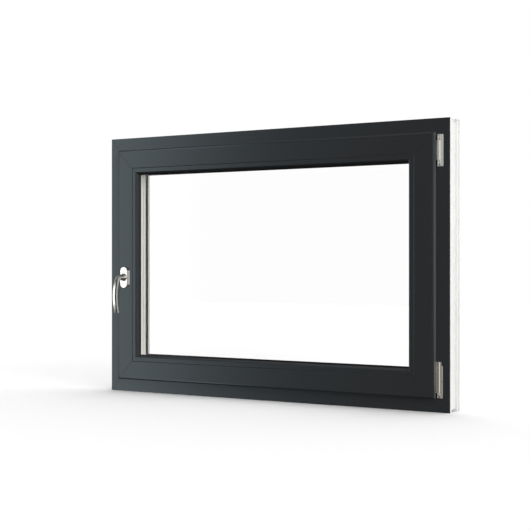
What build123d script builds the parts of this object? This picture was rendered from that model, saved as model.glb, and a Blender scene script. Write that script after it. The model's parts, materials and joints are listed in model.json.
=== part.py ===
from build123d import *
import os

os.makedirs("parts", exist_ok=True)

# A side-hung tilting window in white PVC with a dark foil on its room side, closed, with its handle down.
# X runs along the width, -Y looks into the room, +Y outdoors and +Z up. The origin is on the
# bottom of the sill's front foot, in the middle of the window's width and of the foot's depth.
# Every profile is drawn in (t, v): t runs inward from the window's outer edge, v from the
# frame's room face towards the outdoors. Sizes are in millimetres.

# Whole window
window_width = 1130
window_height = 780

# Profile walls shared by the frame and the sash
outer_wall = 2.8
inner_web = 1.6

# Frame profile
rebate_height = 46
front_foot = 13
edge_recess = 6
rib_width = 8
rear_groove = 9
rear_foot = 4
drain_width = 12
drain_depth = 3
stop_rise = 20
stop_thickness = 15
stop_fall = 4
frame_edge_radius = 1

# Sash profile
sash_overlap = 8
overlap_thickness = 15
seal_gap = 3
air_gap = 12
sash_face = 57
sash_edge_radius = 6
hardware_axis = 13
faceplate_width = 16
faceplate_depth = 3
gear_width = 12
gear_depth = 7
glazing_lip = 16.5
lip_fall = 5

# Glazing bead
bead_depth = 13.5
bead_height = 18.5
bead_flat = 14
bead_nose = 4
bead_round = 4
bead_wall = 1.6
joint_round = 1.5
bead_hook_inset = 4
bead_hook_width = 3.6
bead_hook_depth = 3.5
hook_clearance = 0.2

# Glass unit
pane_thickness = 4
pane_gap = 10
glass_clearance = 6
seal_depth = 5
spacer_height = 6
pane_slot = 2
block_length = 100
block_inset = 60

# Gaskets
glazing_gasket = 4
glazing_gasket_height = 6
glazing_gasket_rise = 1.5
seal_width = 6
seal_inset = 1

# Handle
handle_height = 351
handle_inset = 34
rosette_width = 28
rosette_length = 66
rosette_thickness = 14
rosette_edge = 1
neck_diameter = 24
neck_flare = 22
neck_hollow = 1.5
neck_below = 9
lever_above = 10
lever_drop = 109
lever_top_standoff = 40
lever_tip_standoff = 47.5
lever_bow = 11
lever_width = 14
lever_thickness = 10.5
lever_edge = 3
elbow_outer_radius = 15
elbow_inner_radius = 9
spindle_side = 7
spindle_reach = 25
spindle_bore = 10

# Hinges, on one upright axis beside the sash
hinge_axis_inset = 12.4
hinge_plate_thickness = 3
hinge_plate_tuck = 8
hinge_plate_ease = 1
top_plate_reach = 8.6
bottom_plate_reach = 6.9
knuckle_diameter = 9.4
knuckle_height = 12
knuckle_inset = 3.5
knuckle_gap = 0.5
hinge_pin_diameter = 5
hinge_web = 4
top_hinge_drop = 5.5
top_hinge_length = 85
stay_diameter = 8.8
leaf_thickness = 2.5
leaf_relief = 1
bottom_hinge_rise = 0.3
bottom_bracket_length = 86
bottom_pivot_height = 14
bottom_pivot_lift = 4
bottom_pivot_taper = 1.5
bottom_leaf_length = 82
bottom_knuckle_diameter = 10.6
bottom_pin_seat = 7
bottom_pin_rise = 40
pin_clearance = 0.05
pin_head_diameter = 7
pin_head_height = 1.5
pin_head_taper = 0.8

# Drain caps on the outdoor face of the sill
drain_cap_length = 42
drain_cap_height = 14
drain_cap_thickness = 4
drain_cap_inset = 150
drain_cap_level = 20

# Places that follow from the sizes above
room_y = -front_foot / 2
unit_thickness = 3 * pane_thickness + 2 * pane_gap
sash_depth = bead_depth + 2 * glazing_gasket + unit_thickness + glazing_lip
room_face = -(seal_gap + overlap_thickness)
sash_back = room_face + sash_depth
stop_face = sash_back + seal_gap
frame_depth = stop_face + stop_thickness
frame_height = rebate_height + stop_rise
rib_back = frame_depth - rear_foot - rear_groove
rib_front = rib_back - rib_width
sash_edge = rebate_height - sash_overlap
sash_body = rebate_height + air_gap
sash_floor = sash_edge + sash_face
glass_line = sash_floor + bead_height
glass_edge = sash_floor + glass_clearance
bead_back = room_face + bead_depth
glass_front = bead_back + glazing_gasket
glass_back = glass_front + unit_thickness
lip_face = glass_back + glazing_gasket
spacer_face = glass_edge + seal_depth + spacer_height
slot_floor = spacer_face - pane_slot
hinge_axis_standoff = hinge_plate_thickness + bottom_knuckle_diameter / 2 + knuckle_gap


def side_planes():
    """One plane per side, with its X inward, its Y outdoors and its Z along the side."""
    half = window_width / 2
    middle = window_height / 2
    return {
        "bottom": Plane((0, room_y, 0), x_dir=(0, 0, 1), z_dir=(-1, 0, 0)),
        "top": Plane((0, room_y, window_height), x_dir=(0, 0, -1), z_dir=(1, 0, 0)),
        "handle": Plane((-half, room_y, middle), x_dir=(1, 0, 0), z_dir=(0, 0, 1)),
        "hinge": Plane((half, room_y, middle), x_dir=(-1, 0, 0), z_dir=(0, 0, -1)),
    }


def side_length(side):
    return window_width if side in ("bottom", "top") else window_height


def mitred_bar(section, side):
    """Push a (t, v) section along one side of the window and mitre both ends at 45 degrees."""
    half = side_length(side) / 2
    bar = extrude(section, amount=half, both=True)
    box = bar.bounding_box()
    reach = box.max.X
    wedge = Polygon((0, -half), (reach, reach - half), (reach, half - reach), (0, half), align=None)
    keep = Plane((0, box.min.Y - 1, 0), x_dir=(1, 0, 0), z_dir=(0, -1, 0)) * wedge
    mitre = extrude(keep, amount=box.size.Y + 2, dir=(0, 1, 0))
    return side_planes()[side] * (bar & mitre)


def ring(section):
    """Four mitred bars of one section joined round the window."""
    bars = [mitred_bar(section, side) for side in side_planes()]
    return bars[0] + bars[1:]


def block(t_low, t_high, v_low, v_high):
    """Rectangle between two corners of a (t, v) section."""
    centre = Pos((t_low + t_high) / 2, (v_low + v_high) / 2)
    return centre * Rectangle(t_high - t_low, v_high - v_low)


def round_at(section, corners, radius):
    """Round the corners of a section that lie at the given points."""
    picked = [section.vertices().sort_by_distance((*corner, 0))[0] for corner in corners]
    return fillet(picked, radius)


def frame_section():
    """Frame: feet and grooves at its outer edge, rebate floor, drain channel and outdoor stop."""
    drain_front = stop_face - drain_width
    drain_floor = rebate_height - drain_depth
    section = Polygon(
        (0, 0),
        (rebate_height, 0),
        (rebate_height, drain_front),
        (drain_floor, drain_front + drain_depth),
        (drain_floor, stop_face),
        (frame_height, stop_face),
        (frame_height - stop_fall, frame_depth),
        (0, frame_depth),
        (0, frame_depth - rear_foot),
        (edge_recess, frame_depth - rear_foot),
        (edge_recess, rib_back),
        (0, rib_back),
        (0, rib_front),
        (edge_recess, rib_front),
        (edge_recess, front_foot),
        (0, front_foot),
        align=None,
    )
    section = round_at(
        section,
        [(0, 0), (rebate_height, 0), (frame_height - stop_fall, frame_depth), (frame_height, stop_face)],
        frame_edge_radius,
    )
    inner_edge = edge_recess + outer_wall
    back_wall = frame_depth - outer_wall
    front_room = block(outer_wall, rebate_height - outer_wall, outer_wall, front_foot - inner_web)
    steel_room = block(inner_edge, rebate_height - outer_wall, front_foot, rib_front - inner_web)
    drain_room = block(inner_edge, drain_floor - outer_wall, rib_front, back_wall)
    stop_room = block(
        drain_floor - outer_wall + inner_web,
        frame_height - stop_fall - outer_wall,
        stop_face + outer_wall,
        back_wall,
    )
    rib_room = block(outer_wall, edge_recess, rib_front + inner_web, rib_back - inner_web)
    return section - [front_room, steel_room, drain_room, stop_room, rib_room]


def sash_section():
    """Sash: rounded overlap, hardware groove in its edge, bead groove and outdoor glazing lip."""
    groove_middle = hardware_axis - seal_gap
    plate_front = groove_middle - faceplate_width / 2
    plate_back = groove_middle + faceplate_width / 2
    gear_front = groove_middle - gear_width / 2
    gear_back = groove_middle + gear_width / 2
    plate_floor = sash_body + faceplate_depth
    gear_floor = plate_floor + gear_depth
    hook_front = room_face + bead_hook_inset
    hook_back = hook_front + bead_hook_width
    hook_floor = sash_floor - bead_hook_depth
    section = Polygon(
        (sash_edge, room_face),
        (sash_floor, room_face),
        (sash_floor, hook_front),
        (hook_floor, hook_front),
        (hook_floor, hook_back),
        (sash_floor, hook_back),
        (sash_floor, lip_face),
        (glass_line, lip_face),
        (glass_line - lip_fall, sash_back),
        (sash_body, sash_back),
        (sash_body, plate_back),
        (plate_floor, plate_back),
        (plate_floor, gear_back),
        (gear_floor, gear_back),
        (gear_floor, gear_front),
        (plate_floor, gear_front),
        (plate_floor, plate_front),
        (sash_body, plate_front),
        (sash_body, -seal_gap),
        (sash_edge, -seal_gap),
        align=None,
    )
    section = round_at(section, [(sash_edge, room_face)], sash_edge_radius)
    section = round_at(section, [(sash_floor, room_face)], joint_round)
    section = round_at(section, [(glass_line, lip_face), (sash_edge, -seal_gap)], frame_edge_radius)
    front_wall = room_face + outer_wall
    front_web = -seal_gap - outer_wall
    main_back = lip_face - outer_wall
    front_room = block(sash_edge + outer_wall, hook_floor - outer_wall, front_wall, front_web)
    steel_room = block(gear_floor + outer_wall, sash_floor - outer_wall, front_web + inner_web, main_back)
    back_room = block(
        sash_body + outer_wall, sash_floor - outer_wall, main_back + inner_web, sash_back - outer_wall
    )
    lip_room = block(
        sash_floor - outer_wall + inner_web,
        glass_line - lip_fall - outer_wall,
        lip_face + outer_wall,
        sash_back - outer_wall,
    )
    return section - [front_room, steel_room, back_room, lip_room]


def bead_section():
    """Bead: flat face flush with the sash, round shoulder, and a hook in the sash groove."""
    body = Polygon(
        (sash_floor, room_face),
        (sash_floor + bead_flat, room_face),
        (glass_line, bead_back - bead_nose),
        (glass_line, bead_back),
        (sash_floor, bead_back),
        align=None,
    )
    hollow = offset(body, amount=-bead_wall, kind=Kind.INTERSECTION)
    body = round_at(body, [(sash_floor + bead_flat, room_face)], bead_round)
    body = round_at(body, [(sash_floor, room_face)], joint_round)
    hook_front = room_face + bead_hook_inset + hook_clearance
    hook_back = hook_front + bead_hook_width - 2 * hook_clearance
    hook = block(sash_floor - bead_hook_depth + hook_clearance, sash_floor + bead_wall, hook_front, hook_back)
    return body - hollow + hook


def make_profiles():
    """Frame, sash and beads, each as four mitred bars."""
    parts = {}
    sides = ("bottom", "top", "handle", "hinge")
    frame_names = ("frame_sill", "frame_head", "frame_handle_jamb", "frame_hinge_jamb")
    sash_names = ("sash_bottom_rail", "sash_top_rail", "sash_handle_stile", "sash_hinge_stile")
    bead_names = ("bead_bottom", "bead_top", "bead_handle_side", "bead_hinge_side")
    sections = ((frame_names, frame_section()), (sash_names, sash_section()), (bead_names, bead_section()))
    for names, section in sections:
        for name, side in zip(names, sides):
            parts[name] = mitred_bar(section, side)
    return parts


def make_gaskets():
    """Soft black seals: frame stop, sash overlap, and both faces of the glass."""
    glass_strip = (glass_line - glazing_gasket_height, glass_line + glazing_gasket_rise)
    return {
        "frame_stop_gasket": ring(
            block(frame_height - seal_inset - seal_width, frame_height - seal_inset, sash_back, stop_face)
        ),
        "sash_overlap_gasket": ring(
            block(sash_edge + seal_inset, sash_edge + seal_inset + seal_width, -seal_gap, 0)
        ),
        "glazing_gasket_room": ring(block(*glass_strip, bead_back, glass_front)),
        "glazing_gasket_outdoor": ring(block(*glass_strip, glass_back, lip_face)),
    }


def pane(front, edge):
    """One sheet of glass: its room side at depth front, its rim edge inward from the window's outside."""
    width = window_width - 2 * edge
    height = window_height - 2 * edge
    centre = Pos(0, room_y + front + pane_thickness / 2, window_height / 2)
    return centre * Box(width, pane_thickness, height)


def make_glass():
    """Three panes, the middle one in a slot of the spacer bars, their edge seal and packing blocks."""
    room_gap = glass_front + pane_thickness
    step = pane_thickness + pane_gap
    outdoor_gap = room_gap + step
    middle = room_gap + pane_gap + pane_thickness / 2
    spacer_back = glass_edge + seal_depth
    room_bar = block(spacer_back, spacer_face, room_gap, room_gap + pane_gap)
    room_bar += block(spacer_back, slot_floor, room_gap, middle)
    outdoor_bar = block(spacer_back, spacer_face, outdoor_gap, outdoor_gap + pane_gap)
    outdoor_bar += block(spacer_back, slot_floor, middle, outdoor_gap + pane_gap)
    return {
        "pane_room": pane(glass_front, glass_edge),
        "pane_middle": pane(glass_front + step, slot_floor),
        "pane_outdoor": pane(glass_front + 2 * step, glass_edge),
        "spacer_room": ring(room_bar),
        "spacer_outdoor": ring(outdoor_bar),
        "edge_seal": ring(block(glass_edge, spacer_back, room_gap, outdoor_gap + pane_gap)),
        "glazing_blocks": make_blocks(),
    }


def make_blocks():
    """Packing blocks between the glass and the sash, two on each side."""
    blocks = []
    section = block(sash_floor, glass_edge, glass_front, glass_back)
    for side, plane in side_planes().items():
        middle = side_length(side) / 2 - glass_edge - block_inset - block_length / 2
        for place in (-middle, middle):
            blocks.append(plane * Pos(0, 0, place) * extrude(section, amount=block_length / 2, both=True))
    return Compound(children=blocks)


def handle_plane():
    """Plane on the sash face at the handle: X to the right, Y up, Z into the room."""
    place = (-window_width / 2 + sash_edge + handle_inset, room_y + room_face, handle_height)
    return Plane(place, x_dir=(1, 0, 0), z_dir=(0, -1, 0))


def make_handle():
    """Oval rosette, and a flared neck that bends over into a bowed lever."""
    plane = handle_plane()
    rosette = extrude(SlotOverall(rosette_length, rosette_width, rotation=90), amount=rosette_thickness)
    rosette = chamfer(rosette.faces().sort_by(Axis.Z)[-1].edges(), rosette_edge)
    rosette -= Box(spindle_side, spindle_side, 2 * rosette_thickness)
    spindle = Pos(0, 0, (rosette_thickness - spindle_reach) / 2) * Box(
        spindle_side, spindle_side, rosette_thickness + spindle_reach
    )
    return {
        "handle_rosette": plane * rosette,
        "handle_spindle": plane * spindle,
        "handle_lever": plane * (lever_neck() + lever_blade()),
    }


def lever_neck():
    """Round neck that narrows in a hollow curve from the rosette to the width of the lever."""
    foot = (neck_diameter / 2, rosette_thickness)
    end = (lever_width / 2, rosette_thickness + neck_flare)
    flare = make_face(
        [
            Line((0, foot[1]), foot),
            SagittaArc(foot, end, neck_hollow),
            Line(end, (0, end[1])),
            Line((0, end[1]), (0, foot[1])),
        ]
    )
    return revolve(Plane.XZ * flare, Axis.Z)


def lever_blade():
    """Lever seen from the side: it leaves the neck level, turns down in an elbow and bows outward."""
    half = lever_thickness / 2
    outer = (lever_above, lever_top_standoff + half)
    outer_tip = (-lever_drop, lever_tip_standoff + half)
    inner = (lever_above, lever_top_standoff - half)
    inner_tip = (-lever_drop, lever_tip_standoff - half)
    lever = make_face(
        [
            SagittaArc(outer, outer_tip, -lever_bow),
            Line(outer_tip, inner_tip),
            SagittaArc(inner_tip, inner, lever_bow),
            Line(inner, outer),
        ]
    )
    root = block(-neck_below, lever_above, rosette_thickness, outer[1])
    side_view = lever + root
    inner_bend = side_view.vertices().sort_by_distance((-neck_below, lever_top_standoff, 0))[0]
    side_view = fillet(inner_bend, elbow_inner_radius)
    outer_bend = side_view.vertices().sort_by_distance((*outer, 0))[0]
    side_view = fillet(outer_bend, elbow_outer_radius)
    blade = extrude(Plane.YZ * side_view, amount=lever_width / 2, both=True)
    return chamfer(blade.edges().filter_by(GeomType.CIRCLE), lever_edge)


def hinge_plane(level):
    """Plane on the hinge axis: X towards the handle side, Y outdoors, Z up from the given level."""
    place = (window_width / 2 - sash_edge + hinge_axis_inset, room_y - hinge_axis_standoff, level)
    return Plane(place, x_dir=(-1, 0, 0), z_dir=(0, 0, 1))


def upright(diameter, low, high):
    """Round upright bar on the hinge axis."""
    bar = Cylinder(diameter / 2, high - low, align=(Align.CENTER, Align.CENTER, Align.MIN))
    return Pos(0, 0, low) * bar


def slab(x_low, x_high, y_low, y_high, z_low, z_high):
    """Box between two corners."""
    size = (x_high - x_low, y_high - y_low, z_high - z_low)
    return Pos((x_low + x_high) / 2, (y_low + y_high) / 2, (z_low + z_high) / 2) * Box(*size)


def frame_plate(reach, length):
    """Hinge plate lying on the frame's room face, with its long edges eased."""
    back = -hinge_axis_standoff
    front = back + hinge_plate_thickness
    plate = slab(-reach, hinge_plate_tuck, back, front, 0, length)
    return chamfer(plate.edges().filter_by(Axis.Z).group_by(Axis.Y)[-1], hinge_plate_ease)


def sash_leaf(low, high):
    """Leaf on the flat of the sash's edge, joined to the hinge knuckle by a web."""
    seat = hinge_axis_inset
    back = seal_gap + leaf_relief - hinge_axis_standoff
    front = -room_face - sash_edge_radius - hinge_axis_standoff
    leaf = slab(seat - leaf_thickness, seat, back, front, low, high)
    web = slab(0, seat, -hinge_web / 2, hinge_web / 2, low, high)
    return leaf + web


def make_top_hinge():
    """Frame bracket with a knuckle near each end, the stay knuckle between them, and the pin."""
    top = window_height - sash_edge - top_hinge_drop
    plane = hinge_plane(top - top_hinge_length)
    bore_diameter = hinge_pin_diameter + 2 * pin_clearance
    pin_top = top_hinge_length - knuckle_inset
    low_end = knuckle_inset + knuckle_height
    high_end = pin_top - knuckle_height
    bracket = frame_plate(top_plate_reach, top_hinge_length)
    for low, high in ((knuckle_inset, low_end), (high_end, pin_top)):
        bracket += slab(-hinge_web / 2, hinge_web / 2, -hinge_axis_standoff, 0, low, high)
        bracket += upright(knuckle_diameter, low, high)
    bracket -= upright(bore_diameter, 0, top_hinge_length)
    stay_low = low_end + knuckle_gap
    stay_high = high_end - knuckle_gap
    stay = upright(stay_diameter, stay_low, stay_high) + sash_leaf(stay_low, stay_high)
    stay -= upright(bore_diameter, 0, top_hinge_length)
    head = upright(pin_head_diameter, pin_top, pin_top + pin_head_height)
    foot = upright(pin_head_diameter, knuckle_inset - pin_head_height, knuckle_inset)
    head = chamfer(head.edges().group_by(Axis.Z)[-1], pin_head_taper)
    foot = chamfer(foot.edges().group_by(Axis.Z)[0], pin_head_taper)
    return {
        "top_hinge_bracket": plane * bracket,
        "top_hinge_stay": plane * stay,
        "top_hinge_pin": plane * (upright(hinge_pin_diameter, knuckle_inset, pin_top) + head + foot),
    }


def make_bottom_hinge():
    """Pivot bracket on the frame, the sash's long knuckle standing on it, and the pin."""
    plane = hinge_plane(sash_edge + bottom_hinge_rise)
    bore_diameter = hinge_pin_diameter + 2 * pin_clearance
    arm = Polygon(
        (-hinge_axis_standoff, 0),
        (0, bottom_pivot_lift),
        (0, bottom_pivot_height),
        (-hinge_axis_standoff, bottom_pivot_height),
        align=None,
    )
    pivot = upright(knuckle_diameter, bottom_pivot_lift, bottom_pivot_height)
    pivot = chamfer(pivot.edges().group_by(Axis.Z)[0], bottom_pivot_taper)
    bracket = frame_plate(bottom_plate_reach, bottom_bracket_length) + pivot
    bracket += extrude(Plane.YZ * arm, amount=hinge_web / 2, both=True)
    pin_low = bottom_pivot_height - bottom_pin_seat
    bracket -= upright(bore_diameter, pin_low, bottom_bracket_length)
    low = bottom_pivot_height + knuckle_gap
    high = low + bottom_leaf_length
    sash_part = upright(bottom_knuckle_diameter, low, high) + sash_leaf(low, high)
    sash_part -= upright(bore_diameter, pin_low, low + bottom_pin_rise)
    pin = upright(hinge_pin_diameter, pin_low, low + bottom_pin_rise - pin_clearance)
    return {
        "bottom_hinge_bracket": plane * bracket,
        "bottom_hinge_sash_leaf": plane * sash_part,
        "bottom_hinge_pin": plane * pin,
    }


def make_drain_caps():
    """Two hooded caps over the drain slots on the sill's outdoor face."""
    half = window_width / 2 - drain_cap_inset
    hood = Polygon(
        (0, 0),
        (drain_cap_thickness, 0),
        (drain_cap_thickness, drain_cap_height / 2),
        (0, drain_cap_height),
        align=None,
    )
    caps = []
    for place in (-half, half):
        plane = Plane((place, room_y + frame_depth, drain_cap_level), x_dir=(0, 1, 0), z_dir=(1, 0, 0))
        caps.append(plane * extrude(hood, amount=drain_cap_length / 2, both=True))
    return {"drain_caps": Compound(children=caps)}


def bore_for_spindle(stile):
    """Hole in the handle stile that the spindle passes through."""
    hole = Cylinder(spindle_bore / 2, 2 * (spindle_reach + 1))
    return stile - handle_plane() * hole


def make_window():
    """Every piece of the window by name."""
    parts = make_profiles()
    parts["sash_handle_stile"] = bore_for_spindle(parts["sash_handle_stile"])
    for group in (
        make_gaskets,
        make_glass,
        make_handle,
        make_top_hinge,
        make_bottom_hinge,
        make_drain_caps,
    ):
        parts.update(group())
    return parts


for name, shape in make_window().items():
    export_step(shape, f"parts/{name}.step")
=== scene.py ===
import json
import math

import bpy
import numpy as np
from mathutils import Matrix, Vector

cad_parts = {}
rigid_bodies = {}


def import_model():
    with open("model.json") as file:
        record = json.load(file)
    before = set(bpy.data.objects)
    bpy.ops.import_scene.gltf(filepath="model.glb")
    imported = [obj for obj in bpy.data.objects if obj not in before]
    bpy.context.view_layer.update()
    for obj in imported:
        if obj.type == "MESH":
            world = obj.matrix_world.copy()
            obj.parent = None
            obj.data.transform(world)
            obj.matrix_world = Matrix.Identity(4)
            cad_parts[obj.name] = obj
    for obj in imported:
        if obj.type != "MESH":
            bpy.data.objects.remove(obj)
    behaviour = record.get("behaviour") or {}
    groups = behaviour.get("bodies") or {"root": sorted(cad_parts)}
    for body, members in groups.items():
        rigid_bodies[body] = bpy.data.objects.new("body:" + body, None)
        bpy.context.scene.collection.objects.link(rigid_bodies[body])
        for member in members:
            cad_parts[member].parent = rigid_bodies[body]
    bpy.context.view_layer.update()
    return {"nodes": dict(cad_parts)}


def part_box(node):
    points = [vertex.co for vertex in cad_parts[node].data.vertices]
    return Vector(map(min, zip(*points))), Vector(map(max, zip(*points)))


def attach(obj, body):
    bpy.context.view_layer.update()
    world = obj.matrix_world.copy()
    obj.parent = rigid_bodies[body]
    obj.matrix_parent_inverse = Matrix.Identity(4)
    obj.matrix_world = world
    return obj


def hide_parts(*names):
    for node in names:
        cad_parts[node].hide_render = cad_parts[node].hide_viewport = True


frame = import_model()
nodes = frame["nodes"]

# Frame. Four bars of white PVC, extruded with hollow chambers, sawn at 45 degrees and welded at
# the corners. A dark foil is rolled onto the room side before the bars are sawn, and stops just
# round each edge, so that the rest of the bar stays white.
frame_bars = ["frame_sill", "frame_head", "frame_handle_jamb", "frame_hinge_jamb"]
room_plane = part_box("frame_sill")[0].y
half_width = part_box("frame_head")[1].x
window_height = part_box("frame_head")[1].z
frame_foil_wrap = 0.0045
foil_roughness = 0.2
tone_patch = 0.12
seam_reach = 0.0022
seam_roughness = 0.36
seam_on_white = 0.22
seam_more_on_foil = 0.6
# the weld line lies this many grain heights below the foil
seam_sink = 2.0
# the real embossing is finer than 0.3 mm; it is drawn coarser, so that a trace of it shows
foil_grain = 0.0009
foil_grain_height = 0.00008


def linear(colour):
    """Scene-linear RGBA of an sRGB hex colour: each channel through the sRGB curve."""
    channels = np.array([int(colour[i:i + 2], 16) for i in (1, 3, 5)]) / 255
    low = channels / 12.92
    high = ((channels + 0.055) / 1.055) ** 2.4
    return (*np.where(channels <= 0.04045, low, high), 1.0)


def add_node(tree, kind, inputs=None, **settings):
    """Add a shader node, set its fields, and fill its inputs by name or number. A value is set, a
    socket is linked, and a node is linked by its first output."""
    node = tree.nodes.new("ShaderNode" + kind)
    for field, value in settings.items():
        setattr(node, field, value)
    for key, value in (inputs or {}).items():
        if isinstance(value, bpy.types.Node):
            value = value.outputs[0]
        if isinstance(value, bpy.types.NodeSocket):
            tree.links.new(value, node.inputs[key])
        else:
            node.inputs[key].default_value = value
    return node


def new_material(name):
    """An empty material: itself, its node tree and the place of a point in the window's frame."""
    material = bpy.data.materials.new(name)
    material.use_nodes = True
    tree = material.node_tree
    tree.nodes.clear()
    return material, tree, add_node(tree, "TexCoord").outputs["Object"]


def mitre_seam(tree, point):
    """1 on the welded corner lines, where a point is as far from the side as from the top or bottom,
    falling evenly to 0 at seam_reach beside them."""
    parts = add_node(tree, "SeparateXYZ", {0: point}).outputs
    off_middle = add_node(tree, "Math", {0: parts["X"]}, operation="ABSOLUTE")
    from_side = add_node(tree, "Math", {0: half_width, 1: off_middle}, operation="SUBTRACT")
    from_top = add_node(tree, "Math", {0: window_height, 1: parts["Z"]}, operation="SUBTRACT")
    from_end = add_node(tree, "Math", {0: from_top, 1: parts["Z"]}, operation="MINIMUM")
    unlike = add_node(tree, "Math", {0: from_side, 1: from_end}, operation="SUBTRACT")
    away = add_node(tree, "Math", {0: unlike}, operation="ABSOLUTE")
    return add_node(tree, "MapRange", {0: away, 1: 0.0, 2: seam_reach, 3: 1.0, 4: 0.0})


def foiled_pvc(name, foil_edge):
    """White PVC with an anthracite acrylic foil on all that lies nearer the room than foil_edge.
    The foil is embossed with a very fine even grain, so it looks satin and nearly smooth."""
    material, tree, point = new_material(name)
    depth = add_node(tree, "SeparateXYZ", {0: point}).outputs["Y"]
    foil = add_node(tree, "Math", {0: depth, 1: foil_edge}, operation="LESS_THAN")
    cloud = add_node(tree, "TexNoise", {"Vector": point, "Scale": 1 / tone_patch})
    foil_tones = {0: cloud, 6: linear("#2C2D2F"), 7: linear("#2E2F31")}
    foil_colour = add_node(tree, "Mix", foil_tones, data_type="RGBA").outputs[2]
    white_tones = {0: cloud, 6: linear("#ECECEA"), 7: linear("#E5E5E3")}
    white_colour = add_node(tree, "Mix", white_tones, data_type="RGBA").outputs[2]
    skin = add_node(tree, "Mix", {0: foil, 6: white_colour, 7: foil_colour}, data_type="RGBA").outputs[2]
    seam = mitre_seam(tree, point)
    seam_parts = {0: foil, 1: seam_more_on_foil, 2: seam_on_white}
    seam_strength = add_node(tree, "Math", seam_parts, operation="MULTIPLY_ADD")
    seam_share = add_node(tree, "Math", {0: seam, 1: seam_strength}, operation="MULTIPLY")
    seamed = {0: seam_share, 6: skin, 7: linear("#15171A")}
    colour = add_node(tree, "Mix", seamed, data_type="RGBA").outputs[2]
    rough = add_node(tree, "MapRange", {0: seam, 1: 0.0, 2: 1.0, 3: foil_roughness, 4: seam_roughness})
    grain = add_node(tree, "TexNoise", {"Vector": point, "Scale": 1 / foil_grain, "Detail": 3.0})
    foil_relief = add_node(tree, "Math", {0: grain, 1: foil}, operation="MULTIPLY")
    relief = add_node(tree, "Math", {0: seam, 1: -seam_sink, 2: foil_relief}, operation="MULTIPLY_ADD")
    bump = add_node(tree, "Bump", {"Height": relief, "Strength": 0.25, "Distance": foil_grain_height})
    finish = {
        "Base Color": colour,
        "Roughness": rough,
        "Specular Tint": linear("#DBF7FF"),
        "Normal": bump,
    }
    add_node(tree, "OutputMaterial", {"Surface": add_node(tree, "BsdfPrincipled", finish)})
    return material


def dress(names, material):
    """Give CAD nodes a material, weld their loose triangles and ease their edges."""
    for name in names:
        piece = nodes[name]
        piece.data.materials.clear()
        piece.data.materials.append(material)
        weld = piece.modifiers.new("weld", "WELD")
        weld.merge_threshold = 0.00001
        edge = piece.modifiers.new("eased_edges", "BEVEL")
        edge.width = 0.0003
        edge.segments = 2
        edge.limit_method = "ANGLE"
        edge.angle_limit = math.radians(40)
        edge.harden_normals = False


dress(frame_bars, foiled_pvc("foiled_pvc_frame", room_plane + frame_foil_wrap))

# Sash. Four bars of the same PVC and foil, with a rounded room edge that laps over the frame. The
# foil goes round that edge and ends just behind the lap.
sash_bars = ["sash_bottom_rail", "sash_top_rail", "sash_handle_stile", "sash_hinge_stile"]
sash_foil_end = 0.0145
dress(sash_bars, foiled_pvc("foiled_pvc_sash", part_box("sash_top_rail")[0].y + sash_foil_end))

# Beads. Thin hollow PVC strips with the same foil round their room side, clipped in to hold the
# glass. A soft matt lip is extruded with each along its nose, where it meets the gasket.
bead_names = ["bead_bottom", "bead_top", "bead_handle_side", "bead_hinge_side"]
bead_low, bead_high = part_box("bead_top")
bead_lip = 0.0045
lip_blend = 0.0004
# the foil covers the whole bead, so its edge is set this far behind it
past_bead = 0.001
lip_speckle = 0.002


def foiled_bead():
    """The foil of the other bars, with a dull charcoal lip behind the bead's sloping face."""
    material = foiled_pvc("foiled_pvc_bead", bead_high.y + past_bead)
    tree = material.node_tree
    foil = next(node for node in tree.nodes if node.type == "BSDF_PRINCIPLED")
    output = next(node for node in tree.nodes if node.type == "OUTPUT_MATERIAL")
    point = add_node(tree, "TexCoord").outputs["Object"]
    depth = add_node(tree, "SeparateXYZ", {0: point}).outputs["Y"]
    lip_start = bead_low.y + bead_lip
    nose_edge = {0: depth, 1: lip_start - lip_blend, 2: lip_start}
    behind_nose = add_node(tree, "MapRange", nose_edge, interpolation_type="SMOOTHSTEP")
    speckle = add_node(tree, "TexNoise", {"Vector": point, "Scale": 1 / lip_speckle, "Detail": 3.0})
    lip_tones = {0: speckle, 6: linear("#2C2D2F"), 7: linear("#323335")}
    lip_colour = add_node(tree, "Mix", lip_tones, data_type="RGBA").outputs[2]
    lip_finish = {"Base Color": lip_colour, "Roughness": 0.7, "Specular IOR Level": 0.1}
    lip = add_node(tree, "BsdfPrincipled", lip_finish)
    both = add_node(tree, "MixShader", {0: behind_nose, 1: foil, 2: lip})
    tree.links.new(both.outputs[0], output.inputs["Surface"])
    return material


dress(bead_names, foiled_bead())

# Gaskets. Black rubber strips pressed into the profiles, and the poured black seal round the
# edge of the glass unit. They are matt and slightly dusty.
gasket_names = ["frame_stop_gasket", "sash_overlap_gasket", "glazing_gasket_room", "glazing_gasket_outdoor"]
dust_patch = 0.01


def black_rubber():
    """Matt black seal rubber with a faint grey bloom."""
    material, tree, point = new_material("black_seal_rubber")
    cloud = add_node(tree, "TexNoise", {"Vector": point, "Scale": 1 / dust_patch, "Detail": 4.0})
    tones = {0: cloud, 6: linear("#0E0F10"), 7: linear("#151617")}
    colour = add_node(tree, "Mix", tones, data_type="RGBA").outputs[2]
    finish = {"Base Color": colour, "Roughness": 0.75, "Specular IOR Level": 0.25}
    add_node(tree, "OutputMaterial", {"Surface": add_node(tree, "BsdfPrincipled", finish)})
    return material


dress(gasket_names + ["edge_seal"], black_rubber())

# Glass unit. Three sheets of clear float glass held apart by warm-grey spacer bars, with a bead of
# black butyl between the outer bar and the outdoor sheet.
pane_names = ["pane_room", "pane_middle", "pane_outdoor"]
mirror_share = 0.07
butyl_width = 0.0012
spacer_patch = 0.05


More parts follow.
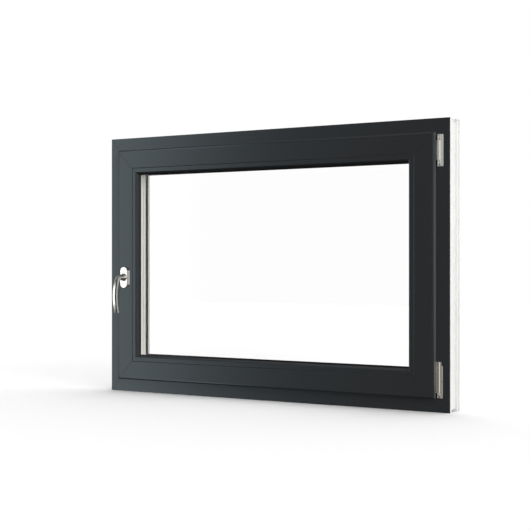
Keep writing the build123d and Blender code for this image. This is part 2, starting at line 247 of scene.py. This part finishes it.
def float_glass():
    """Clear glass: see-through, with a faint mirror that grows at a glancing angle."""
    material, tree, _ = new_material("clear_float_glass")
    clear = add_node(tree, "BsdfTransparent", {"Color": linear("#FFFFFF")})
    mirror = add_node(tree, "BsdfGlossy", {"Color": linear("#FFFFFF"), "Roughness": 0.0})
    glance = add_node(tree, "Fresnel", {"IOR": 1.5})
    share = add_node(tree, "Math", {0: glance, 1: mirror_share}, operation="MULTIPLY")
    both = add_node(tree, "MixShader", {0: share, 1: clear, 2: mirror})
    add_node(tree, "OutputMaterial", {"Surface": both})
    return material


def spacer_metal(sealed_from):
    """Satin warm-grey spacer bar; behind the depth sealed_from the black butyl bead shows."""
    material, tree, point = new_material("satin_grey_spacer")
    cloud = add_node(tree, "TexNoise", {"Vector": point, "Scale": 1 / spacer_patch})
    tones = {0: cloud, 6: linear("#BFBFB7"), 7: linear("#C8C8BF")}
    bar = add_node(tree, "Mix", tones, data_type="RGBA").outputs[2]
    depth = add_node(tree, "SeparateXYZ", {0: point}).outputs["Y"]
    butyl = add_node(tree, "Math", {0: depth, 1: sealed_from}, operation="GREATER_THAN")
    colour = add_node(tree, "Mix", {0: butyl, 6: bar, 7: linear("#1B1C1D")}, data_type="RGBA").outputs[2]
    surface = add_node(tree, "BsdfPrincipled", {"Base Color": colour, "Roughness": 0.5})
    add_node(tree, "OutputMaterial", {"Surface": surface})
    return material


pane_glass = float_glass()
for pane_name in pane_names:
    nodes[pane_name].data.materials.clear()
    nodes[pane_name].data.materials.append(pane_glass)
dress(["spacer_room", "spacer_outdoor"], spacer_metal(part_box("spacer_outdoor")[1].y - butyl_width))

# Handle. An oval rosette and a cast lever, both in satin nickel, on a square steel spindle. The
# lever's round neck flares out of the rosette, bends down in an elbow and bows away from the sash
# as a bar with bevelled edges.
rosette_low, rosette_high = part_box("handle_rosette")
handle_x = (rosette_low.x + rosette_high.x) / 2
handle_z = (rosette_low.z + rosette_high.z) / 2
sash_face_y = rosette_high.y
rosette_radius = (rosette_high.x - rosette_low.x) / 2
rosette_straight = (rosette_high.z - rosette_low.z) / 2 - rosette_radius
rosette_depth = rosette_high.y - rosette_low.y
rosette_slack = 0.0006
foot_chamfer = 0.0006
rim_radius = 0.0011
rim_end = 0.0016
metal_patch = 0.012
# the real brushing is finer than 0.1 mm; it is drawn coarser, so that a trace of it shows, and
# squeezed upwards, which makes a streak about 33 times as long as it is wide
streak_width = 0.0004
streak_squeeze = 0.03
streak_height = 0.00005
roughness_spread = 0.03


def satin_metal(name, pale, dark, roughness, metallic=1.0):
    """Plated metal with a satin finish: fine upright streaks break up its reflections."""
    material, tree, point = new_material(name)
    cloud = add_node(tree, "TexNoise", {"Vector": point, "Scale": 1 / metal_patch, "Detail": 3.0})
    tones = {0: cloud, 6: linear(dark), 7: linear(pale)}
    colour = add_node(tree, "Mix", tones, data_type="RGBA").outputs[2]
    stretched = add_node(tree, "Mapping", {"Vector": point, "Scale": (1.0, 1.0, streak_squeeze)})
    streaks = add_node(tree, "TexNoise", {"Vector": stretched, "Scale": 1 / streak_width})
    roughest, smoothest = roughness + roughness_spread, roughness - roughness_spread
    rough = add_node(tree, "MapRange", {0: streaks, 3: smoothest, 4: roughest})
    bump = add_node(tree, "Bump", {"Height": streaks, "Strength": 0.08, "Distance": streak_height})
    finish = {"Base Color": colour, "Metallic": metallic, "Roughness": rough, "Normal": bump}
    add_node(tree, "OutputMaterial", {"Surface": add_node(tree, "BsdfPrincipled", finish)})
    return material


def skinned(name, rings, material, sharp=30):
    """One closed piece from a stack of closed rings, with a flat lid on the first and the last.
    rings is (stations, points, 3) in metres. Seen from the last ring, each ring's points run
    anticlockwise, so that the faces point outwards."""
    rings = np.asarray(rings, float)
    stations, around = rings.shape[:2]
    index = np.arange(stations * around).reshape(stations, around)
    low, high = index[:-1], index[1:]
    sides = np.stack([low, np.roll(low, -1, 1), np.roll(high, -1, 1), high], -1).reshape(-1, 4)
    faces = sides.tolist() + [index[0][::-1].tolist(), index[-1].tolist()]
    mesh = bpy.data.meshes.new(name)
    mesh.from_pydata(rings.reshape(-1, 3).tolist(), [], faces)
    mesh.polygons.foreach_set("use_smooth", np.ones(len(faces), bool))
    mesh.set_sharp_from_angle(angle=math.radians(sharp))
    mesh.materials.append(material)
    piece = bpy.data.objects.new(name, mesh)
    bpy.context.scene.collection.objects.link(piece)
    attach(piece, "root")
    return piece


def stadium_ring(height, inset, around=96):
    """Ring parallel to the sash face at a height off it: two half circles joined by straight
    flanks, drawn in from the rosette's outline by inset."""
    turn = np.linspace(0, 2 * np.pi, around, endpoint=False) + np.pi / around
    radius = rosette_radius - rosette_slack - inset
    along = radius * np.sin(turn) + rosette_straight * np.sign(np.sin(turn))
    level = np.full(around, sash_face_y - height)
    return np.column_stack([handle_x + radius * np.cos(turn), level, handle_z + along])


satin_nickel = satin_metal("satin_nickel", "#E9E8E3", "#DEDCD6", 0.24)
rosette_profile = [(0.0, foot_chamfer), (foot_chamfer, 0.0), (rosette_depth - rim_radius, 0.0)]
for turn in np.linspace(0, np.pi / 2, 6)[1:]:
    rim_height = rosette_depth - rim_radius * (1 - math.sin(turn))
    rosette_profile.append((rim_height, rim_radius * (1 - math.cos(turn))))
rosette_profile.append((rosette_depth, rim_end))
cover_rings = [stadium_ring(height, inset) for height, inset in rosette_profile]
cover = skinned("rosette_cover", cover_rings, satin_nickel)
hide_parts("handle_rosette")

# columns in millimetres: height above the rosette's middle, distance off the sash face, half width
# and half thickness; the last column is boxiness, from 0 to 1
lever_stations = [
    (0.5, 14.0, 12.0, 11.8, 0.0),
    (0.5, 16.5, 11.2, 11.0, 0.0),
    (0.5, 20.5, 10.0, 9.6, 0.0),
    (0.6, 26.0, 8.6, 8.6, 0.0),
    (0.7, 31.5, 7.7, 8.2, 0.1),
    (-0.2, 36.5, 7.2, 7.9, 0.35),
    (-2.8, 41.2, 7.0, 7.2, 0.6),
    (-7.4, 45.2, 7.0, 6.3, 0.85),
    (-14.0, 48.3, 7.0, 5.6, 1.0),
    (-24.0, 51.3, 7.5, 5.3, 1.0),
    (-38.0, 53.9, 7.5, 5.25, 1.0),
    (-52.0, 54.7, 7.5, 5.25, 1.0),
    (-66.0, 54.6, 7.5, 5.25, 1.0),
    (-80.0, 53.2, 7.5, 5.25, 0.9),
    (-94.0, 50.7, 7.5, 5.1, 0.7),
    (-107.4, 47.5, 7.5, 4.9, 0.5),
]
lever_steps = 120
lever_points = 96
bevel_turn = math.radians(52)
bevel_start = 0.58
edge_crispness = 18
grip_shift = 0.0009
shift_below = 0.007
shift_length = 0.03
tip_crown = 0.0004
tip_taper = 0.96


def lever_ring(turn, half_wide, half_thick, boxiness):
    """Ring of a bar in its own plane: at each angle the radius is a smooth least of eight flats,
    four square ones and four bevels; boxiness 0 gives a plain ellipse instead."""
    bevel_reach = math.cos(bevel_turn) * bevel_start * half_wide + math.sin(bevel_turn) * half_thick
    square_ways = np.radians([0, 90, 180, 270])
    bevel_ways = [bevel_turn, np.pi - bevel_turn, np.pi + bevel_turn, -bevel_turn]
    ways = np.concatenate([square_ways, bevel_ways])
    reach = np.array([half_wide, half_thick, half_wide, half_thick] + [bevel_reach] * 4)
    closeness = np.clip(np.cos(turn[:, None] - ways[None, :]) / reach[None, :], 0, None)
    boxed = (closeness ** edge_crispness).sum(1) ** (-1 / edge_crispness)
    ellipse = 1 / np.sqrt((np.cos(turn) / half_wide) ** 2 + (np.sin(turn) / half_thick) ** 2)
    radius = (1 - boxiness) * ellipse + boxiness * boxed
    return radius * np.cos(turn), radius * np.sin(turn)


def smooth_line(points, count):
    """Smooth curve through points, sampled evenly along the length of their first two columns: a
    cubic between each two points that keeps the slope at both."""
    knots = np.concatenate([[0], np.cumsum(np.linalg.norm(np.diff(points[:, :2], axis=0), axis=1))])
    slopes = np.gradient(points, knots, axis=0)
    at = np.linspace(0, knots[-1], count)
    stretch = np.clip(np.searchsorted(knots, at, side="right") - 1, 0, len(knots) - 2)
    span = (knots[stretch + 1] - knots[stretch])[:, None]
    share = ((at - knots[stretch])[:, None]) / span
    later = 3 * share ** 2 - 2 * share ** 3
    return (
        points[stretch] * (1 - later)
        + points[stretch + 1] * later
        + slopes[stretch] * span * (share - 2 * share ** 2 + share ** 3)
        + slopes[stretch + 1] * span * (share ** 3 - share ** 2)
    )


lever_line = smooth_line(np.array(lever_stations) / [1000, 1000, 1000, 1000, 1], lever_steps)
rise, out, half_wide, half_thick, boxiness = lever_line.T
heading = np.stack([np.gradient(rise), np.gradient(out)], -1)
heading /= np.linalg.norm(heading, axis=1, keepdims=True)
leftward = grip_shift * np.clip((-shift_below - rise) / shift_length, 0, 1)
ring_turn = -(np.linspace(0, 2 * np.pi, lever_points, endpoint=False) + np.pi / lever_points)
lever_rings = []
for i in range(lever_steps):
    across, outward = lever_ring(ring_turn, half_wide[i], half_thick[i], np.clip(boxiness[i], 0, 1))
    ring_x = handle_x - leftward[i] + across
    ring_y = sash_face_y - (out[i] + outward * heading[i, 0])
    ring_z = handle_z + rise[i] - outward * heading[i, 1]
    lever_rings.append(np.stack([ring_x, ring_y, ring_z], -1))
tip_middle = lever_rings[-1].mean(0)
tip_way = np.array([0.0, -heading[-1, 1], heading[-1, 0]]) * tip_crown
lever_rings.append(tip_middle + (lever_rings[-1] - tip_middle) * tip_taper + tip_way)
lever = skinned("lever", lever_rings, satin_nickel, sharp=38)
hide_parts("handle_lever")
dress(["handle_spindle"], satin_metal("plated_spindle_steel", "#C9C9C4", "#B4B4AE", 0.35))

# Hinges. Pressed and turned steel, plated in satin nickel. Each has a plate on the frame, a leaf on
# the sash's edge, and a pressed cap whose slanting face carries one thin strip of brighter polished
# metal, a painted highlight. The top one shows two turned knuckles on a pin, the bottom one a ball
# pivot, its arm and two screws.
top_plate_low, top_plate_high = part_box("top_hinge_bracket")
stay_low, stay_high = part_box("top_hinge_stay")
pin_low, pin_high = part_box("top_hinge_pin")
bottom_plate_low, bottom_plate_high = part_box("bottom_hinge_bracket")
leaf_low, leaf_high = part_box("bottom_hinge_sash_leaf")
hinge_x = (pin_low.x + pin_high.x) / 2
hinge_y = (pin_low.y + pin_high.y) / 2
plate_thickness = 0.0025
plate_side_slack = 0.0008
plate_corner = 0.0012
plate_corner_cut = 0.0006
plate_rim = 0.0008
hinge_gap = 0.0005
knuckle_radius = hinge_y - top_plate_low.y
knuckle_bevel = 0.0008
knuckle_rim_share = 0.8
knuckle_belly = 0.06
knuckle_foot_relief = 0.0004
pin_cap = 0.0015
pin_cap_radius = 0.0035
pin_cap_least = 0.15
# in millimetres, as the plans of these pieces are
strip_half_thickness = 0.09
strip_relief = 0.0006
ball_radius = 0.0042
ball_offset = 0.0006
arm_below_ball = 0.0012
arm_above_plate_foot = 0.0006
cap_corner = 0.0004
top_cap_rim = 0.0004
bottom_cap_rim = 0.0005
leaf_rim = 0.0002
screw_from_side = 0.0022
height_screw_rise = 0.0075
height_screw_radius = 0.0021
side_screw_rise = 0.043
side_screw_radius = 0.0015
side_screw_shift = 0.0004

# Bright satin nickel is on the knuckles, pin ends, top cap, bottom plate and ball, and a warmer,
# greyer one on the bottom cap, leaf and arm. The thin strips are a brighter polished copy of the
# nickel, a painted highlight; the top plate is dull pale zinc; the near-black top leaf and feet are
# painted shade, standing for the dark gaps between bright pieces.
hinge_nickel = satin_metal("satin_hinge_nickel", "#CDCCC4", "#C5C4BC", 0.2, metallic=0.6)
warm_nickel = satin_metal("warm_hinge_nickel", "#ADA69C", "#A59E95", 0.2, metallic=0.75)
# A brighter polished copy of the nickel, for the thin strips that paint highlight lines.
painted_highlight_metal = satin_metal("painted_highlight_hinge_edge", "#F2F1EA", "#ECEBE3", 0.12)
plate_zinc = satin_metal("pale_hinge_plate", "#D6D6D0", "#C8C8C1", 0.3, metallic=0.35)
# Near-black steel: painted shade on the top leaf and the knuckle feet; the side screw is drawn in it too.
black_steel_and_painted_shade = satin_metal("black_steel_painted_shade", "#5C5F60", "#505354", 0.35, metallic=0.4)


def eased(corners, radius, steps=5):
    """Outline with every corner rounded: each corner becomes a short parabola between two cuts, one
    on each edge, at the radius from the corner or at 0.45 of the edge if that is less."""
    corners = np.asarray(corners, float)
    before, after = np.roll(corners, 1, 0), np.roll(corners, -1, 0)
    share = np.linspace(0, 1, steps)[:, None]
    points = []
    for corner, last, following in zip(corners, before, after):
        cuts = []
        for other in (last, following):
            away = other - corner
            reach = np.linalg.norm(away)
            cuts.append(corner + away * min(radius, 0.45 * reach) / reach)
        start, end = cuts
        points.append(start * (1 - share) ** 2 + 2 * corner * share * (1 - share) + end * share ** 2)
    return np.concatenate(points)


def hinge_plan(points):
    """Plan points given in millimetres from the hinge axis, right and towards the room."""
    return np.array([(hinge_x + right / 1000, hinge_y - room / 1000) for right, room in points])


def upright(name, outline, low, high, rim, material):
    """Upright piece: one plan outline carried from low to high, drawn in a little at both ends."""
    middle = outline.mean(0)
    inward = rim / np.abs(outline - middle).max()
    rings = []
    for z, shrink in ((low, inward), (low + rim, 0.0), (high - rim, 0.0), (high, inward)):
        plan = middle + (outline - middle) * (1 - shrink)
        rings.append(np.column_stack([plan, np.full(len(plan), z)]))
    return skinned(name, rings, material)


def turned(name, x, profile, material, around=48):
    """Turned piece: level circles about an upright axis; profile is pairs of height and radius."""
    turn = np.linspace(0, 2 * np.pi, around, endpoint=False)
    rings = []
    for z, radius in profile:
        circle = [x + radius * np.cos(turn), hinge_y + radius * np.sin(turn), np.full(around, z)]
        rings.append(np.column_stack(circle))
    return skinned(name, rings, material)


def hinge_plate(name, low, high, material):
    """Plate against the frame, with rounded corners and one cut: an outline in x and z carried
    from its back to its front, where it is drawn in to a soft rim."""
    side = high.x - plate_side_slack
    cut_side, cut_top = side - plate_corner_cut, high.z - plate_corner_cut
    corners = [(low.x, low.z), (side, low.z), (side, cut_top), (cut_side, high.z), (low.x, high.z)]
    outline = eased(corners, plate_corner)
    middle = outline.mean(0)
    front = high.y - plate_thickness
    levels = [
        (high.y, 0.0),
        (front + plate_rim, 0.0),
        (front + 0.3 * plate_rim, 0.3 * plate_rim),
        (front, plate_rim),
    ]
    rings = []
    for y, inset in levels:
        shape = middle + (outline - middle) * (1 - inset / np.abs(outline - middle).max(0))
        rings.append(np.column_stack([shape[:, 0], np.full(len(shape), y), shape[:, 1]]))
    return skinned(name, rings, material)


def knuckle(name, low, high):
    """Turned knuckle, a little fuller at its middle, with bevelled rims."""
    heights = np.linspace(low + knuckle_bevel, high - knuckle_bevel, 9)
    belly = knuckle_radius * (1 - knuckle_belly + knuckle_belly * np.sin(np.linspace(0, np.pi, 9)))
    rim = knuckle_rim_share * knuckle_radius
    return turned(name, hinge_x, [(low, rim), *zip(heights, belly), (high, rim)], hinge_nickel)


def pin_dome(name, end, way):
    """Domed end of the pin, a quarter circle in section; way is 1 at the top and -1 at the foot."""
    profile = []
    for turn in np.linspace(0, np.pi / 2, 6):
        height = end - way * pin_cap * (1 - math.sin(turn))
        profile.append((height, pin_cap_radius * max(math.cos(turn), pin_cap_least)))
    return turned(name, hinge_x, profile[::way], hinge_nickel)


def painted_highlight_strip(name, start, end, low, high):
    """Painted highlight: a thin bright strip on a cap's slanting face, between two plan ends in mm."""
    start, end = np.array(start), np.array(end)
    along = end - start
    outward = np.array([-along[1], along[0]]) / np.linalg.norm(along) * strip_half_thickness
    plan = hinge_plan([start + outward, end + outward, end - outward, start - outward])
    return upright(name, plan, low + strip_relief, high - strip_relief, 0.00005, painted_highlight_metal)


def socket_screw(name, x, z, radius, material):
    """Round screw head seen from the room, domed at its rim, with a six-sided socket sunk in it."""
    turn = np.linspace(0, 2 * np.pi, 48, endpoint=False)
    six_sides = 1 / np.cos((turn % (np.pi / 3)) - np.pi / 6)
    socket = six_sides / six_sides.max()
    # pairs of height over the plate's face and share of the head's radius
    head = [
        (0.0, 1.0), (0.0005, 1.0), (0.0008, 0.9),
        (0.0009, 0.7), (0.0009, 0.5 * socket), (0.0002, 0.48 * socket),
    ]
    plate_face = bottom_plate_high.y - plate_thickness
    rings = []
    for height, size in head:
        reach = radius * size
        level = np.full(48, plate_face - height)
        rings.append(np.column_stack([x + reach * np.cos(turn), level, z + reach * np.sin(turn)]))
    return skinned(name, rings, material)


top_plate = hinge_plate("top_plate", top_plate_low, top_plate_high, plate_zinc)
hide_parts("top_hinge_bracket")
top_knuckles = {
    "lower": (pin_low.z + pin_cap, stay_low.z - hinge_gap),
    "upper": (stay_high.z + hinge_gap, pin_high.z - pin_cap),
}
# The knuckle feet are near-black, painted shade for the dark gaps between the knuckles and the plate.
foot_plan = eased(hinge_plan([(-2.0, 0.0), (2.0, 0.0), (2.2, -6.2), (-2.2, -6.2)]), 0.0004)
for place, (low, high) in top_knuckles.items():
    knuckle(f"top_knuckle_{place}", low, high)
    foot_low, foot_high = low + knuckle_foot_relief, high - knuckle_foot_relief
    upright(f"top_knuckle_foot_{place}", foot_plan, foot_low, foot_high, 0.0003, black_steel_and_painted_shade)
top_dome = pin_dome("top_pin_cap_upper", pin_high.z, 1)
pin_dome("top_pin_cap_lower", pin_low.z, -1)
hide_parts("top_hinge_pin")
stay_plan = [
    (-5.2, -3.6), (-5.2, 3.6), (-4.6, 4.2), (0.1, 4.3),
    (1.5, 1.8), (3.4, -1.6), (4.3, -4.4), (-4.2, -4.6),
]
stay_outline = eased(hinge_plan(stay_plan), cap_corner)
stay_cap = upright("top_stay_cap", stay_outline, stay_low.z, stay_high.z, top_cap_rim, hinge_nickel)
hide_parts("top_hinge_stay")
# A painted highlight line along the top cap's slanting face.
painted_highlight_strip("top_cap_highlight_strip", (0.3, 3.94), (1.3, 2.16), stay_low.z, stay_high.z)
seat = (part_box("sash_hinge_stile")[1].x - hinge_x) * 1000
top_leaf_plan = [
    (seat, 3.2), (seat + 2, 3.2), (seat + 2, 1.9), (-3.5, 1.9),
    (-3.5, -1.9), (seat + 2, -1.9), (seat + 2, -4.5), (seat, -4.5),
]
top_leaf = eased(hinge_plan(top_leaf_plan), 0.0003)
leaf_foot, leaf_head = stay_low.z + leaf_rim, stay_high.z - leaf_rim
# The top leaf is near-black, painted shade for the dark gap where the knuckles hug the sash's edge.
upright("top_leaf", top_leaf, leaf_foot, leaf_head, leaf_rim, black_steel_and_painted_shade)

bottom_plate = hinge_plate("bottom_plate", bottom_plate_low, bottom_plate_high, hinge_nickel)
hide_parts("bottom_hinge_bracket")
cap_plan = [(-5.4, -4.4), (-5.4, 5.0), (0.8, 5.1), (2.3, 2.4), (3.4, -2.0), (4.0, -4.8), (-4.6, -4.8)]
cap_outline = eased(hinge_plan(cap_plan), cap_corner)
sash_cap = upright("bottom_sash_cap", cap_outline, leaf_low.z, leaf_high.z, bottom_cap_rim, warm_nickel)
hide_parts("bottom_hinge_sash_leaf")
# A painted highlight line along the bottom cap's slanting face.
painted_highlight_strip("bottom_cap_highlight_strip", (1.02, 4.70), (2.08, 2.80), leaf_low.z, leaf_high.z)
bottom_leaf_plan = [
    (seat, -4.5), (seat, 3.0), (seat + 1.0, 4.6), (-5.8, 4.6),
    (-5.8, 3.4), (seat + 1.2, 3.0), (seat + 1.2, -4.5),
]
bottom_leaf = eased(hinge_plan(bottom_leaf_plan), 0.0002)
upright("bottom_leaf", bottom_leaf, leaf_low.z, leaf_high.z, leaf_rim, warm_nickel)
ball_z = leaf_low.z - hinge_gap - ball_radius
ball_turns = np.linspace(-0.46 * np.pi, 0.46 * np.pi, 15)
ball = [(ball_z + ball_radius * math.sin(turn), ball_radius * math.cos(turn)) for turn in ball_turns]
turned("bottom_pivot_ball", hinge_x - ball_offset, ball, hinge_nickel)
arm_plan = eased(hinge_plan([(-3.6, -6.2), (-3.6, 1.0), (2.2, 1.0), (5.0, -3.2), (5.0, -6.2)]), 0.0005)
arm_low, arm_high = bottom_plate_low.z + arm_above_plate_foot, ball_z - arm_below_ball
upright("bottom_pivot_arm", arm_plan, arm_low, arm_high, 0.0005, warm_nickel)
dress(["bottom_hinge_pin"], hinge_nickel)
screw_x = bottom_plate_high.x - screw_from_side
screw_z = bottom_plate_low.z + height_screw_rise
socket_screw("bottom_height_screw", screw_x, screw_z, height_screw_radius, warm_nickel)
screw_x = screw_x + side_screw_shift
screw_z = bottom_plate_low.z + side_screw_rise
socket_screw("bottom_side_screw", screw_x, screw_z, side_screw_radius, black_steel_and_painted_shade)

# Small plastic pieces. Moulded white caps clip over the drain slots on the outdoor side, and blue
# packing blocks carry the glass unit inside the sash.
plastic_patch = 0.02


def moulded_plastic(name, colour):
    """Smooth moulded plastic with a slightly uneven tone and a soft sheen."""
    material, tree, point = new_material(name)
    cloud = add_node(tree, "TexNoise", {"Vector": point, "Scale": 1 / plastic_patch})
    tones = {0: cloud, 6: linear(colour), 7: linear("#E9E9E7")}
    shade = add_node(tree, "Mix", tones, data_type="RGBA", blend_type="MULTIPLY").outputs[2]
    surface = add_node(tree, "BsdfPrincipled", {"Base Color": shade, "Roughness": 0.4})
    add_node(tree, "OutputMaterial", {"Surface": surface})
    return material


dress(["drain_caps"], moulded_plastic("white_moulded_plastic", "#F2F2F0"))
dress(["glazing_blocks"], moulded_plastic("blue_moulded_plastic", "#3B6EA5"))

# Studio: a pale floor that keeps the window's shadow, in a white room that is dim straight ahead
# of the window, with a soft panel at the left front and daylight from both sides and behind. Of
# two broad lamps, one stands at the right front and one high behind the window.
floor_size = 14.0
floor_colour = "#E3E3E3"
floor_fill = 0.01


def pale_floor():
    """Matt pale floor; the eye also sees a little even light, so that it meets the white room."""
    material, tree, _ = new_material("pale_studio_floor")
    matt = add_node(tree, "BsdfDiffuse", {"Color": linear(floor_colour)})
    rays = add_node(tree, "LightPath").outputs
    eye = {0: rays["Is Camera Ray"], 1: rays["Is Transmission Ray"]}
    looked_at = add_node(tree, "Math", eye, operation="MAXIMUM")
    strength = add_node(tree, "Math", {0: looked_at, 1: floor_fill}, operation="MULTIPLY")
    fill = add_node(tree, "Emission", {"Color": linear("#FFFFFF"), "Strength": strength})
    add_node(tree, "OutputMaterial", {"Surface": add_node(tree, "AddShader", {0: matt, 1: fill})})
    return material


floor_corners = np.array([(-1, -1), (1, -1), (1, 1), (-1, 1)]) * floor_size / 2
floor_mesh = bpy.data.meshes.new("floor")
floor_mesh.from_pydata([(x, y, 0.0) for x, y in floor_corners], [], [(0, 1, 2, 3)])
floor_mesh.materials.append(pale_floor())
floor = bpy.data.objects.new("floor", floor_mesh)
bpy.context.scene.collection.objects.link(floor)
floor.visible_glossy = False
floor.visible_diffuse = False

# In the picture no piece of the window mirrors its neighbours or shades them softly. So none is
# seen by mirror rays, and only the frame's bars are seen by matt rays, where they shade the floor.
# The shadows of the lamps stay.
for piece in bpy.data.objects:
    if piece.type == "MESH" and piece is not floor:
        piece.visible_glossy = False
        piece.visible_diffuse = piece.name.startswith("frame_")


def broad_lamp(name, turn, rise, energy, spread):
    """Soft distant lamp: turn is degrees to the right of straight ahead, rise degrees above level."""
    data = bpy.data.lights.new(name, "SUN")
    data.energy = energy
    data.angle = math.radians(spread)
    lamp = bpy.data.objects.new(name, data)
    lamp.rotation_euler = (math.radians(90 - rise), 0, math.radians(turn))
    lamp.visible_glossy = False
    bpy.context.scene.collection.objects.link(lamp)


broad_lamp("right_front_lamp", 56, 17, 3.6, 50)
broad_lamp("overhead_lamp", 180, 52, 3.2, 95)

# The room's light by direction, all of it even in colour. Behind the window it is a low band to
# mirror rays and a broad one to matt rays, which see the whole room about half as bright.
ahead_light = 0.09
left_light = 0.3
left_tail = 0.5
right_light = 0.85
back_light = 0.5
back_glow = 0.95
overhead_light = 0.2
underfoot_light = 0.08
matt_share = 0.54
panel_light = 2.6

world = bpy.data.worlds.new("white_studio")
world.use_nodes = True
bpy.context.scene.world = world
tree = world.node_tree
tree.nodes.clear()
way = add_node(tree, "SeparateXYZ", {0: add_node(tree, "TexCoord").outputs["Generated"]}).outputs
height = way["Z"]
leftward_part = add_node(tree, "Math", {0: way["X"], 1: -1.0}, operation="MULTIPLY")
forward_part = add_node(tree, "Math", {0: way["Y"], 1: -1.0}, operation="MULTIPLY")
left_turn = add_node(tree, "Math", {0: leftward_part, 1: forward_part}, operation="ARCTAN2")
any_turn = add_node(tree, "Math", {0: left_turn}, operation="ABSOLUTE")
rays = add_node(tree, "LightPath").outputs
matt_ray = rays["Is Diffuse Ray"]

# soft edges: what they run along, their start and end, and 0 where they rise from 0 to 1 or 1
# where they fall; a turn is measured to the left of straight ahead
edges = {}
for edge, along, start, end, first in (
    ("overhead", height, 0.45, 0.85, 0),
    ("underfoot", height, -0.15, -0.4, 0),
    ("ahead_right", left_turn, math.radians(-92), math.radians(-78), 0),
    ("ahead_left", left_turn, math.radians(50), math.radians(75), 1),
    ("left_tail", left_turn, math.radians(60), math.radians(105), 1),
    ("behind", any_turn, math.radians(112), math.radians(128), 0),
    ("low_band_top", height, 0.14, 0.34, 1),
    ("low_band_foot", height, -0.14, -0.34, 1),
    ("panel_right", left_turn, math.radians(33), math.radians(39), 0),
    ("panel_left", left_turn, math.radians(46), math.radians(69), 1),
    ("panel_top", height, 0.2, 0.4, 1),
    ("panel_foot", height, -0.2, -0.4, 1),
):
    edge_inputs = {0: along, 1: start, 2: end, 3: first, 4: 1 - first}
    edges[edge] = add_node(tree, "MapRange", edge_inputs, interpolation_type="SMOOTHSTEP")

below_top = add_node(tree, "Math", {0: 1.0, 1: edges["overhead"]}, operation="SUBTRACT")
level_band = add_node(tree, "Math", {0: below_top, 1: edges["underfoot"]}, operation="SUBTRACT")
ahead = add_node(tree, "Math", {0: edges["ahead_right"], 1: edges["ahead_left"]}, operation="MULTIPLY")
low_band_ends = {0: edges["low_band_top"], 1: edges["low_band_foot"]}
low_band = add_node(tree, "Math", low_band_ends, operation="MULTIPLY")
on_left = add_node(tree, "Math", {0: left_turn, 1: 0.0}, operation="GREATER_THAN")
tail_parts = {0: edges["left_tail"], 1: left_tail, 2: left_light}
left_side = add_node(tree, "Math", tail_parts, operation="MULTIPLY_ADD")
sides = add_node(tree, "Mix", {0: on_left, 2: right_light, 3: left_side})
back = add_node(tree, "Mix", {0: matt_ray, 2: back_light, 3: back_glow})
sides_and_back = add_node(tree, "Mix", {0: edges["behind"], 2: sides, 3: back})
around_light = add_node(tree, "Mix", {0: ahead, 2: sides_and_back, 3: ahead_light})
back_band = add_node(tree, "Mix", {0: matt_ray, 2: low_band, 3: level_band})
band = add_node(tree, "Mix", {0: edges["behind"], 2: level_band, 3: back_band})
light = add_node(tree, "Math", {0: around_light, 1: band}, operation="MULTIPLY")
for part, strength in (("overhead", overhead_light), ("underfoot", underfoot_light)):
    light = add_node(tree, "Math", {0: edges[part], 1: strength, 2: light}, operation="MULTIPLY_ADD")
panel = add_node(tree, "Math", {0: edges["panel_right"], 1: edges["panel_left"]}, operation="MULTIPLY")
for part in ("panel_top", "panel_foot"):
    panel = add_node(tree, "Math", {0: panel, 1: edges[part]}, operation="MULTIPLY")
light = add_node(tree, "Math", {0: panel, 1: panel_light, 2: light}, operation="MULTIPLY_ADD")
share = add_node(tree, "Mix", {0: matt_ray, 2: 1.0, 3: matt_share})
light = add_node(tree, "Math", {0: light, 1: share}, operation="MULTIPLY")
room = add_node(tree, "Background", {"Color": linear("#FFFFFF"), "Strength": light})
backdrop = add_node(tree, "Background", {"Color": linear("#FFFFFF"), "Strength": 1.0})
eye = {0: rays["Is Camera Ray"], 1: rays["Is Transmission Ray"]}
looked_at = add_node(tree, "Math", eye, operation="MAXIMUM")
seen = add_node(tree, "MixShader", {0: looked_at, 1: room, 2: backdrop})
add_node(tree, "OutputWorld", {"Surface": seen})
bpy.context.scene.view_settings.view_transform = "Standard"

# Camera: a long lens standing to the right of the window, level, a little over half its height.
camera_place = (1.8252, -2.9924, 0.3999)
camera_turn = 31.503
camera_data = bpy.data.cameras.new("camera")
camera_data.sensor_width = 36.0
camera_data.lens = 82.72
camera_data.shift_y = -0.00658
camera = bpy.data.objects.new("camera", camera_data)
camera.location = camera_place
camera.rotation_euler = (math.radians(90), 0, math.radians(camera_turn))
bpy.context.scene.collection.objects.link(camera)
bpy.context.scene.camera = camera
